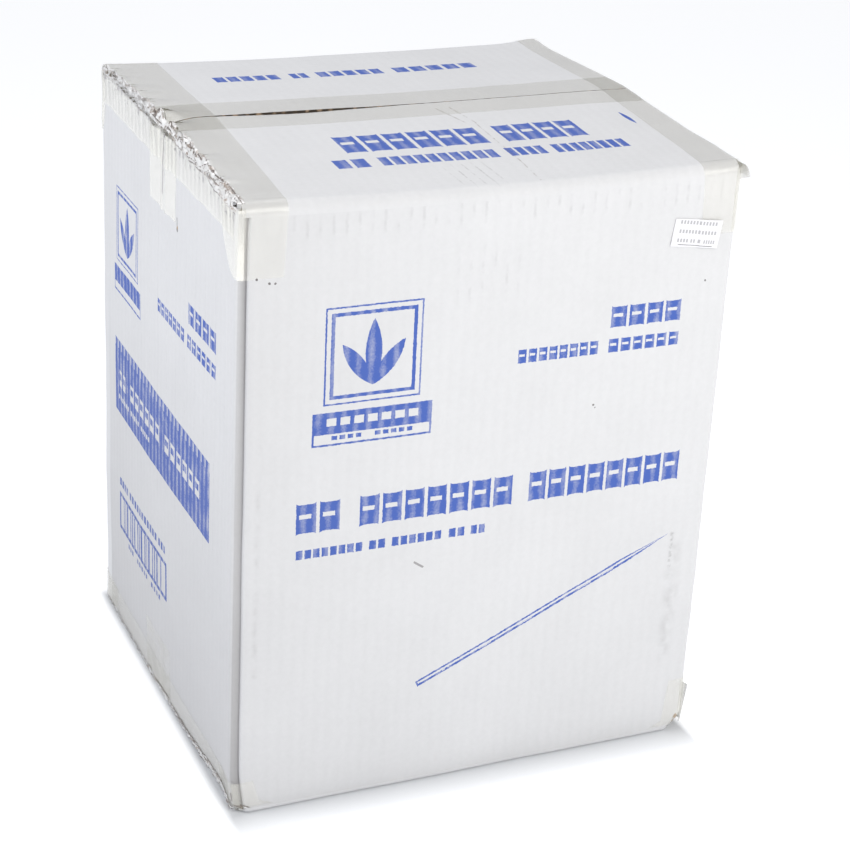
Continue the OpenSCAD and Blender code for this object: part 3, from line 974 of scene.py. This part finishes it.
def make_materials():
    """Builds the shared groups and every material once"""
    flute_group()
    ink_group()
    paper_group()
    crumple_group()
    for name, draw in (("Front Print", draw_front), ("Side Print", draw_side), ("Top Print", draw_top)):
        drawn_group(name, draw, ("Mask",))
    for name, draw in (
        ("Front Wear And Shade", wear_and_shade_front), ("Side Wear And Shade", wear_and_shade_side), ("Top Wear", wear_top), ("No Wear", no_wear),
    ):
        drawn_group(name, draw, ("Dirt And Shade", "Torn"))
    top = fold_z()
    # Axis across the flutes, rules for U and V, print and wear with painted shade, and how much ink is
    # missed
    walls = {
        "front": (0, (0, 1, -HALF_W), (2, -1, -top), "Front Print", "Front Wear And Shade", 0.42),
        "back": (0, (0, -1, -HALF_W), (2, -1, -top), "Front Print", "No Wear", 0.42),
        "left": (1, (1, -1, -HALF_D), (2, -1, -top), "Side Print", "Side Wear And Shade", 0.7),
        "right": (1, (1, 1, -HALF_D), (2, -1, -top), "Side Print", "No Wear", 0.7),
        "top": (0, (0, 1, -HALF_W), (1, -1, -HALF_D), "Top Print", "Top Wear", 0.35),
        "plain": (0, None, None, None, None, 0.0),
    }
    for name, rules in walls.items():
        printed_board(f"board_{name}", *rules)
    kraft_board()
    packing_tape("packing_tape", 0.12, tape().film)
    packing_tape("loose_tape", 0.5, (0.58, 0.58, 0.56))
    label_paper()


# Board

def make_wall(name, path, material, step):
    """Wall that follows a path in plan, from its floor fold to its top fold"""
    # Above and below the flat wall only the ends past the flaps' cut ends go on up to the inner flaps
    def place(a, b):
        x, y, _heading = path.at(a)
        past_flap = abs(x) > HALF_W - SETBACK or abs(y) < HALF_D - board().fold_r
        if past_flap and b >= wall_top() - MM:
            b += board().fold_r - board().board_t
        if past_flap and b <= BASE_FOLD:
            b = board().board_t - 1 * MM
        return settle((x, y, b))

    heights = even(BASE_FOLD, wall_top(), 3.5 * MM)
    piece = make_sheet(name, path.stations(step), heights, place, board().board_t, cut_edge=True)
    return dress(piece, f"{material} kraft_board", "board", "carton")


def make_walls():
    """Four walls of the tube of board"""
    r = board().upright_r
    past = 10 * MM
    width = 2 * HALF_W
    depth = 2 * HALF_D
    press = 1.3 * MM
    front = Path(-HALF_W + JOINT_W, -HALF_D + JOINT_DEPTH, -90).straight(JOINT_DEPTH - press)
    front.bend(press, 90).straight(width - JOINT_W - press - r).bend(r, 90).straight(past)
    right = Path(HALF_W, -HALF_D + r + past, 90).straight(depth - 2 * r - past).bend(r, 90).straight(past)
    back = Path(HALF_W - r - past, HALF_D, 180).straight(width - 2 * r - past).bend(r, 90).straight(past)
    left = Path(-HALF_W, HALF_D - r - past, -90)
    left.straight(depth - r - past - JOINT_DEPTH - JOINT_FOLD_R).bend(JOINT_FOLD_R, 90).straight(20 * MM)
    make_wall("front_wall", front, "board_front", 3 * MM)
    make_wall("right_wall", right, "board_right", 3 * MM)
    make_wall("back_wall", back, "board_back", 3 * MM)
    make_wall("left_wall", left, "board_left", 1.3 * MM)


def seam_edge(x, side):
    """Distance of a flap's torn edge from the middle of the seam"""
    split = hump(x, SPLIT_MIDDLE, SPLIT_REACH)
    frayed = 0.35 * MM * noise.noise(Vector((x * 260, side * 9, 3)))
    return 0.5 * MM + 1.0 * MM * split + frayed


def make_outer_flap(name, side, up):
    """Front (-1) or back (1) flap at the top (1) or bottom (-1), with the fold that joins it to its wall"""
    r = board().fold_r if up > 0 else BASE_FOLD
    bend = r * math.pi / 2
    flat = HALF_D - r

    def place(a, b):
        x = -side * a
        if b <= 0:
            y, z = HALF_D + 0.03 * MM, b
        elif b <= bend:
            y, z = HALF_D - r + r * math.cos(b / r), r * math.sin(b / r)
        else:
            y = (HALF_D - r) * (1 - (b - bend) / flat)
            y += seam_edge(x, side) * (b - bend) / flat
            z = r + (crown(x, side * y) if up > 0 else 0.0)
        return settle((x, side * y, wall_top() + z if up > 0 else r - z))

    stations = [-1.2 * MM] + even(0.0, bend, 0.8 * MM) + even(bend, bend + flat, 3 * MM)[1:]
    edge = HALF_W - SETBACK
    piece = make_sheet(name, even(-edge, edge, 2.6 * MM), stations, place, board().board_t, cut_edge=True)
    face = "board_top" if up > 0 else "board_plain"
    return dress(piece, f"{face} kraft_board", "board", "carton")


def make_inner_flap(name, side, up):
    """Left (-1) or right (1) flap, which lies under the outer flaps"""
    r = 5 * MM
    reach = HALF_D - 4 * MM
    level = fold_z() - board().board_t if up > 0 else board().board_t
    path = Path(side * HALF_W, level - up * r, 90 * up).bend(r, 90 * side * up).straight(138 * MM)

    def place(a, b):
        x, z, _heading = path.at(b)
        return settle((x, a, z))

    across = even(-reach, reach, 4 * MM)
    piece = make_sheet(name, across, path.stations(6 * MM), place, board().board_t, cut_edge=True)
    return dress(piece, "board_plain kraft_board", "board", "carton")


def make_flaps():
    """Outer and inner flaps at the top and the bottom"""
    for up, level in ((1, "top"), (-1, "bottom")):
        for side, end in ((-1, "front"), (1, "back")):
            make_outer_flap(f"{level}_{end}_flap", side, up)
        for side, end in ((-1, "left"), (1, "right")):
            make_inner_flap(f"{level}_{end}_flap", side, up)


# Tape

LIFT = 0.35 * MM


def lay(p, lift, crumple=0.0):
    """Lays a point of tape on the settled board, with fine wrinkles, and crumpled by a share from 0 to 1"""
    ideal = Vector(p)
    out = facing(ideal)
    ripple = abs(noise.noise(ideal * 70)) * 0.25 * MM
    if crumple > 0:
        stretched = Vector((ideal.x * 160, ideal.y * 260, ideal.z * 110))
        broken = abs(noise.noise(stretched)) + 0.7 * abs(noise.noise(stretched * 2.3 + Vector((3, 1, 2))))
        ripple += crumple * 2.5 * MM * broken
    point = settle(ideal) + out * (lift + ripple)
    point.z = max(point.z, 0.1 * MM)
    return point


def edge_crumple(p, side, up):
    """How crumpled the tape is: most along the battered top left edge, and along the bottom left edge"""
    level = fold_z() + crown(p[0], p[1]) if up > 0 else 0.0
    away = math.hypot(abs(p[0]) - HALF_W, p[2] - level)
    if side > 0:
        return 0.10 * hump(away, 0, 6 * MM)
    below = 0.35 * hump(away, 0, 14 * MM) * (p[2] < level - 1 * MM)
    return (0.08 + below + 0.9 * hump(away, 0, 5 * MM)) * (1 if up > 0 else 0.6)


def make_end_strip(side, up, on_front, on_back, tail, tail_w, wraps):
    """Strip along a left (-1) or right (1) edge at the top (1) or bottom (-1), with its tails and wraps"""
    wall_h = tape().width - (on_front + on_back) / 2
    r_edge = 2.5 * MM
    r_fold = board().fold_r
    flap_end = HALF_D - r_fold
    bm = bmesh.new()

    def height(z):
        """Height from how far a point lies past the fold, down at the top and up at the bottom"""
        return fold_z() - z if up > 0 else z

    def band(a, b):
        share = (b + flap_end) / (2 * flap_end)
        on_flap = on_front + (on_back - on_front) * share
        rise = crown(side * HALF_W, b) if up > 0 else 0.0
        path = Path(HALF_W - on_flap, -rise, 0).straight(on_flap - r_edge).bend(r_edge, 90)
        path.straight(wall_h + rise - r_edge)
        ragged = 0.6 * MM * noise.noise(Vector((b * 40, side, 1)))
        x, down, _heading = path.at(a * (path.length + ragged))
        p = (side * x, b, height(down))
        return lay(p, LIFT, edge_crumple(p, side, up))

    add_grid(bm, [n / 72 for n in range(73)], even(-flap_end, flap_end, 1.2 * MM), band)
    for end, wrap_l in zip((-1, 1), wraps):
        on_flap = on_front if end < 0 else on_back
        low_w = tail_w if end < 0 else on_flap

        def over(a, b, end=end, on_flap=on_flap, low_w=low_w):
            path = Path(flap_end, 0, 0).bend(r_fold, 90).straight(tail - r_fold)
            ragged = 1.2 * MM * noise.noise(Vector((a * 12, end * 5, side + 3 * up)))
            y, down, _heading = path.at(b * (path.length + ragged))
            narrow = 1 - (0.08 if up > 0 else 0.26) * b
            wide = on_flap + (low_w * narrow - on_flap) * min(1.0, down / (9 * MM))
            p = (side * (HALF_W - 0.4 * MM - a * wide), end * y, height(down))
            torn = 0.35 * hump(a * wide, 0, 6 * MM) if side < 0 else 0.05
            return lay(p, 1.15 * LIFT, torn)

        add_grid(bm, [n / 24 for n in range(25)], [n / 56 for n in range(57)], over)

        def wrap(a, b, end=end, wrap_l=wrap_l):
            r = board().upright_r
            path = Path(HALF_W - r, HALF_D, 0).bend(r, -90).straight(wrap_l - r)
            x, y, _heading = path.at(a * path.length)
            lower = tail - (tail - wall_h) * (a**3)
            down = lower + (3 * MM - lower) * b
            p = (side * x, end * y, height(down))
            return lay(p, 1.5 * LIFT, 0.25 * hump(down, 0, 12 * MM) if side < 0 else 0.03)

        add_grid(bm, [n / 34 for n in range(35)], [n / 30 for n in range(31)], wrap)
    return bm


def make_ear():
    """Loose end of the top right strip: a curl of doubled tape beside the front corner"""
    radius = 10.5 * MM
    bm = bmesh.new()

    def curl(a, b):
        path = Path(HALF_W - 3 * MM, 0, 0).straight(2.5 * MM).bend(radius, 84)
        x, down, _heading = path.at(a * path.length)
        x = min(x, HALF_W) + 0.72 * max(0.0, x - HALF_W)
        sway = 0.4 * MM * noise.noise(Vector((a * 3, b * 4, 8)))
        y = 1.5 * MM - HALF_D + 11 * MM * b + 3 * MM * a
        return Vector((x + sway, y, fold_z() - 2 * MM - down + sway))

    def web(a, b):
        turn = math.radians(84) * b
        x = HALF_W + 0.72 * radius * math.sin(turn) * a
        drop = radius * (1 - math.cos(turn)) + 0.4 * MM * (1 - a)
        return Vector((x, 2 * MM - HALF_D + 0.8 * MM * math.sin(3 * a), fold_z() - 2 * MM - drop))

    add_grid(bm, [n / 24 for n in range(25)], [n / 12 for n in range(13)], curl)
    add_grid(bm, [n / 12 for n in range(13)], [n / 16 for n in range(17)], web)
    piece = finish_sheet("loose_tape_ear", bm, 0.2 * MM)
    return dress(piece, "loose_tape", "tape")


def make_seam_strip(name, node, up, shift, tail):
    """Strip along the seam between the outer flaps, with a tab at each side wall"""
    half = tape().width / 2
    r = 3 * MM
    bm = bmesh.new()
    for edge in (-1, 1):

        def place(a, b, edge=edge):
            over = a * (1 + tail / HALF_W)
            parted = (0.1 * MM + 1.3 * MM * hump(over, SPLIT_MIDDLE, SPLIT_REACH)) * (up > 0)
            parted = max(0.0, parted - 0.5 * MM * abs(noise.noise(Vector((over * 300, edge, 5)))))
            y = edge * parted + (shift + edge * half - edge * parted) * b
            rise = crown(over, y) if up > 0 else 0.0
            wall = tail + rise - r
            path = Path(-HALF_W, tail, -90).straight(wall).bend(r, 90).straight(2 * (HALF_W - r))
            path.bend(r, 90).straight(wall)
            x, down, _heading = path.at((HALF_W + a) / (2 * HALF_W) * path.length)
            dip = 0.5 * MM * hump(y, 0, 1.2 * MM) * (up > 0)
            clump = 0.9 * hump(x, -HALF_W, 8 * MM) * hump(y, 16 * MM, 13 * MM)
            clump *= hump(down, -5 * MM, 14 * MM)
            z = fold_z() - down if up > 0 else down
            lift = 0.3 * MM - dip if up > 0 else 0.1 * MM
            # The tab on the left wall is creased down its middle
            tab = hump(x, -HALF_W, 2 * MM) * hump(y, 4 * MM, 1.5 * MM) * (down > 6 * MM)
            return lay((x, y, z), lift + 0.9 * MM * tab, clump * (up > 0))

        add_grid(bm, even(-HALF_W, HALF_W, 1.4 * MM), [n / 16 for n in range(17)], place)
    piece = finish_sheet(name, bm, 0.15 * MM)
    return dress(piece, "packing_tape", "tape", node)


def make_loose_fold():
    """Fold of tape that stands off the wall at the lower right corner"""
    bm = bmesh.new()

    def fold(a, b):
        stand = (1.2 + 3.4 * b) * MM
        x = HALF_W - 1.5 * MM + (stand + 1.5 * MM) * a
        top = 36 * MM - 4.5 * MM * a
        return Vector((x, -HALF_D + (1.0 + 2.5 * a * a) * MM, 5 * MM + (top - 5 * MM) * b))

    def turned(a, b):
        stand = (1.2 + 3.4 * b) * MM
        x = HALF_W + stand - 0.6 * stand * a
        return Vector((x, -HALF_D + (3.5 + 7 * a) * MM, 5 * MM + 26.5 * MM * b))

    add_grid(bm, [n / 14 for n in range(15)], [n / 20 for n in range(21)], fold)
    add_grid(bm, [n / 8 for n in range(9)], [n / 20 for n in range(21)], turned)
    piece = finish_sheet("loose_tape_fold", bm, 0.2 * MM)
    return dress(piece, "loose_tape", "tape")


def make_label():
    """Paper label, stuck partly on the wall and partly over the tail of the top right strip"""
    turn = math.radians(LABEL_TURN)

    def place(a, b):
        x = HALF_W - LABEL_IN + a * math.cos(turn) + b * math.sin(turn)
        z = fold_z() - LABEL_DOWN - a * math.sin(turn) + b * math.cos(turn)
        over_tail = min(1.0, max(0.0, (x - HALF_W + 27 * MM) / (2 * MM)))
        return lay((x, -HALF_D, z), 0.4 * MM + 0.75 * MM * over_tail)

    across = even(-LABEL_W / 2, LABEL_W / 2, 1 * MM)
    along = even(-LABEL_H / 2, LABEL_H / 2, 1 * MM)
    piece = make_sheet("paper_label", across, along, place, 0.12 * MM)
    return dress(piece, "label_paper", "label", "lot_label")


def make_tapes():
    """Every strip of packing tape"""
    make_seam_strip("top_seam_film", "top_seam_tape", 1, 3 * MM, 53 * MM)
    make_seam_strip("bottom_seam_film", "bottom_seam_tape", -1, 14 * MM, 42 * MM)
    strips = (
        ("top_left", -1, 1, 27, 36, 45, 27, (32, 12)),
        ("top_right", 1, 1, 26, 15, 45, 26, (32, 32)),
        ("bottom_left", -1, -1, 34, 34, 24, 17, (32, 32)),
        ("bottom_right", 1, -1, 34, 34, 40, 17, (32, 32)),
    )
    for name, side, up, front, back, tail, tail_w, wraps in strips:
        bm = make_end_strip(
            side, up, front * MM, back * MM, tail * MM, tail_w * MM, [w * MM for w in wraps]
        )
        piece = finish_sheet(f"{name}_film", bm, 0.15 * MM)
        dress(piece, "packing_tape", "tape", f"{name}_tape")
    make_ear()
    make_loose_fold()


# Stage

CAMERA_PLACE = (-0.5200, -1.2112, 0.7845)
CAMERA_TURN = -24.35
CAMERA_DROP = 23.09
CAMERA_ROLL = 3.15
PICTURE_SIZE = 850
FOCAL_PIXELS = 2131.0
CENTRE_PIXEL = (432.9, 373.7)


def make_camera():
    """Camera at the photograph's viewing angle"""
    data = bpy.data.cameras.new("camera")
    camera = bpy.data.objects.new("camera", data)
    bpy.context.scene.collection.objects.link(camera)
    data.sensor_fit = "HORIZONTAL"
    data.sensor_width = 36
    data.lens = FOCAL_PIXELS / PICTURE_SIZE * data.sensor_width
    data.shift_x = (PICTURE_SIZE / 2 - CENTRE_PIXEL[0]) / PICTURE_SIZE
    data.shift_y = (CENTRE_PIXEL[1] - PICTURE_SIZE / 2) / PICTURE_SIZE
    turn, drop = math.radians(CAMERA_TURN), math.radians(CAMERA_DROP)
    forward = Vector((-math.sin(turn) * math.cos(drop), math.cos(turn) * math.cos(drop), -math.sin(drop)))
    right = Vector((math.cos(turn), math.sin(turn), 0))
    up = right.cross(forward)
    rotation = Matrix((right, up, -forward)).transposed()
    roll = Matrix.Rotation(math.radians(CAMERA_ROLL), 3, "Z")
    camera.matrix_world = Matrix.Translation(CAMERA_PLACE) @ (rotation @ roll).to_4x4()
    bpy.context.scene.camera = camera


def make_floor():
    """Plain pale floor that glows white, but for a painted soft shadow round the carton"""
    settings = bpy.context.scene.carton_stage
    mesh = bpy.data.meshes.new("floor")
    bm = bmesh.new()
    bmesh.ops.create_grid(bm, x_segments=1, y_segments=1, size=6)
    bm.to_mesh(mesh)
    bm.free()
    floor = bpy.data.objects.new("floor", mesh)
    bpy.context.scene.collection.objects.link(floor)
    material = bpy.data.materials.new("studio_floor")
    material.use_nodes = True
    g = Graph(material.node_tree)
    shader = material.node_tree.nodes["Principled BSDF"]
    axes = g.axes(g.place())
    # The glow fades out near the carton's foot, most widely in front: a painted shadow in the floor's own
    # grey-blue
    before = g.most(g.take(-HALF_D, axes[1]), g.times(g.take(axes[1], HALF_D), 3.0), 0.0)
    beside = g.sum("MAXIMUM", g.take(g.sum("ABSOLUTE", axes[0]), HALF_W), 0.0)
    away = g.reach(before, g.times(beside, 6.0), 0.0, 0.0)
    shader.inputs["Base Color"].default_value = (*settings.floor_colour, 1)
    shader.inputs["Roughness"].default_value = 0.6
    shader.inputs["Specular IOR Level"].default_value = 0.2
    shader.inputs["Emission Color"].default_value = (1, 1, 1, 1)
    g.feed(shader.inputs["Emission Strength"], g.span(away, -2 * MM, 31 * MM, 0.0, 0.55))
    mesh.materials.append(material)


def add_light(name, place, aim, size, power, colour):
    """Square soft light that faces its aim"""
    data = bpy.data.lights.new(name, "AREA")
    data.shape = "SQUARE"
    data.size = size
    data.energy = power
    data.color = colour
    light = bpy.data.objects.new(name, data)
    light.location = place
    light.visible_camera = False
    light.rotation_euler = (Vector(aim) - Vector(place)).to_track_quat("-Z", "Y").to_euler()
    bpy.context.scene.collection.objects.link(light)


def make_lights():
    """Soft key from the front above, a smaller light from the left, and a white room"""
    settings = bpy.context.scene.carton_stage
    aim = (0, 0, 0.2)
    add_light("key_light", (0.45, -1.3, 0.95), aim, 0.9, settings.key_power, (1.0, 0.975, 0.915))
    add_light("left_light", (-0.95, -0.05, 0.85), aim, 0.7, 0.36 * settings.key_power, (0.97, 0.98, 1.0))
    add_light("back_light", (0.1, 0.35, 1.3), aim, 0.6, 0.22 * settings.key_power, (1.0, 1.0, 1.0))
    world = bpy.data.worlds.new("studio")
    world.use_nodes = True
    background = world.node_tree.nodes["Background"]
    background.inputs["Color"].default_value = (0.97, 0.975, 1.0, 1)
    background.inputs["Strength"].default_value = 0.60
    bpy.context.scene.world = world
    bpy.context.scene.view_settings.view_transform = "Standard"


# Operators

class CARTON_OT_materials(bpy.types.Operator):
    """Build the materials"""

    bl_idname = "carton.materials"
    bl_label = "Materials"

    def execute(self, context):
        make_materials()
        return {"FINISHED"}


class CARTON_OT_stage(bpy.types.Operator):
    """Add the floor, the lights and the camera"""

    bl_idname = "carton.stage"
    bl_label = "Stage"

    def execute(self, context):
        make_floor()
        make_lights()
        make_camera()
        return {"FINISHED"}


class CARTON_OT_walls(bpy.types.Operator):
    """Bend the four walls of the carton"""

    bl_idname = "carton.walls"
    bl_label = "Walls"

    def execute(self, context):
        make_walls()
        return {"FINISHED"}


class CARTON_OT_flaps(bpy.types.Operator):
    """Close the flaps at the top and the bottom"""

    bl_idname = "carton.flaps"
    bl_label = "Flaps"

    def execute(self, context):
        make_flaps()
        return {"FINISHED"}


class CARTON_OT_tapes(bpy.types.Operator):
    """Lay the packing tape"""

    bl_idname = "carton.tapes"
    bl_label = "Tapes"

    def execute(self, context):
        make_tapes()
        return {"FINISHED"}


class CARTON_OT_label(bpy.types.Operator):
    """Stick the paper label on the front wall"""

    bl_idname = "carton.label"
    bl_label = "Label"

    def execute(self, context):
        make_label()
        return {"FINISHED"}


class CARTON_PT_build(bpy.types.Panel):
    """Panel that lists the steps"""

    bl_idname = "CARTON_PT_build"
    bl_label = "Shipping Carton"
    bl_space_type = "VIEW_3D"
    bl_region_type = "UI"
    bl_category = "Carton"

    def draw(self, context):
        for step in STEPS:
            self.layout.operator(step.bl_idname)


STEPS = (
    CARTON_OT_materials, CARTON_OT_stage, CARTON_OT_walls, CARTON_OT_flaps, CARTON_OT_tapes,
    CARTON_OT_label,
)
SETTINGS = {
    "carton_board": CartonSettings, "carton_tape": TapeSettings, "carton_stage": StageSettings,
}


def register():
    for name, kind in SETTINGS.items():
        bpy.utils.register_class(kind)
        setattr(bpy.types.Scene, name, PointerProperty(type=kind))
    for kind in (*STEPS, CARTON_PT_build):
        bpy.utils.register_class(kind)


def unregister():
    for kind in (CARTON_PT_build, *reversed(STEPS)):
        bpy.utils.unregister_class(kind)
    for name, kind in SETTINGS.items():
        delattr(bpy.types.Scene, name)
        bpy.utils.unregister_class(kind)


def main():
    register()
    bpy.ops.carton.materials()
    bpy.ops.carton.stage()
    bpy.ops.carton.walls()
    bpy.ops.carton.flaps()
    bpy.ops.carton.tapes()
    bpy.ops.carton.label()


if __name__ == "__main__":
    main()
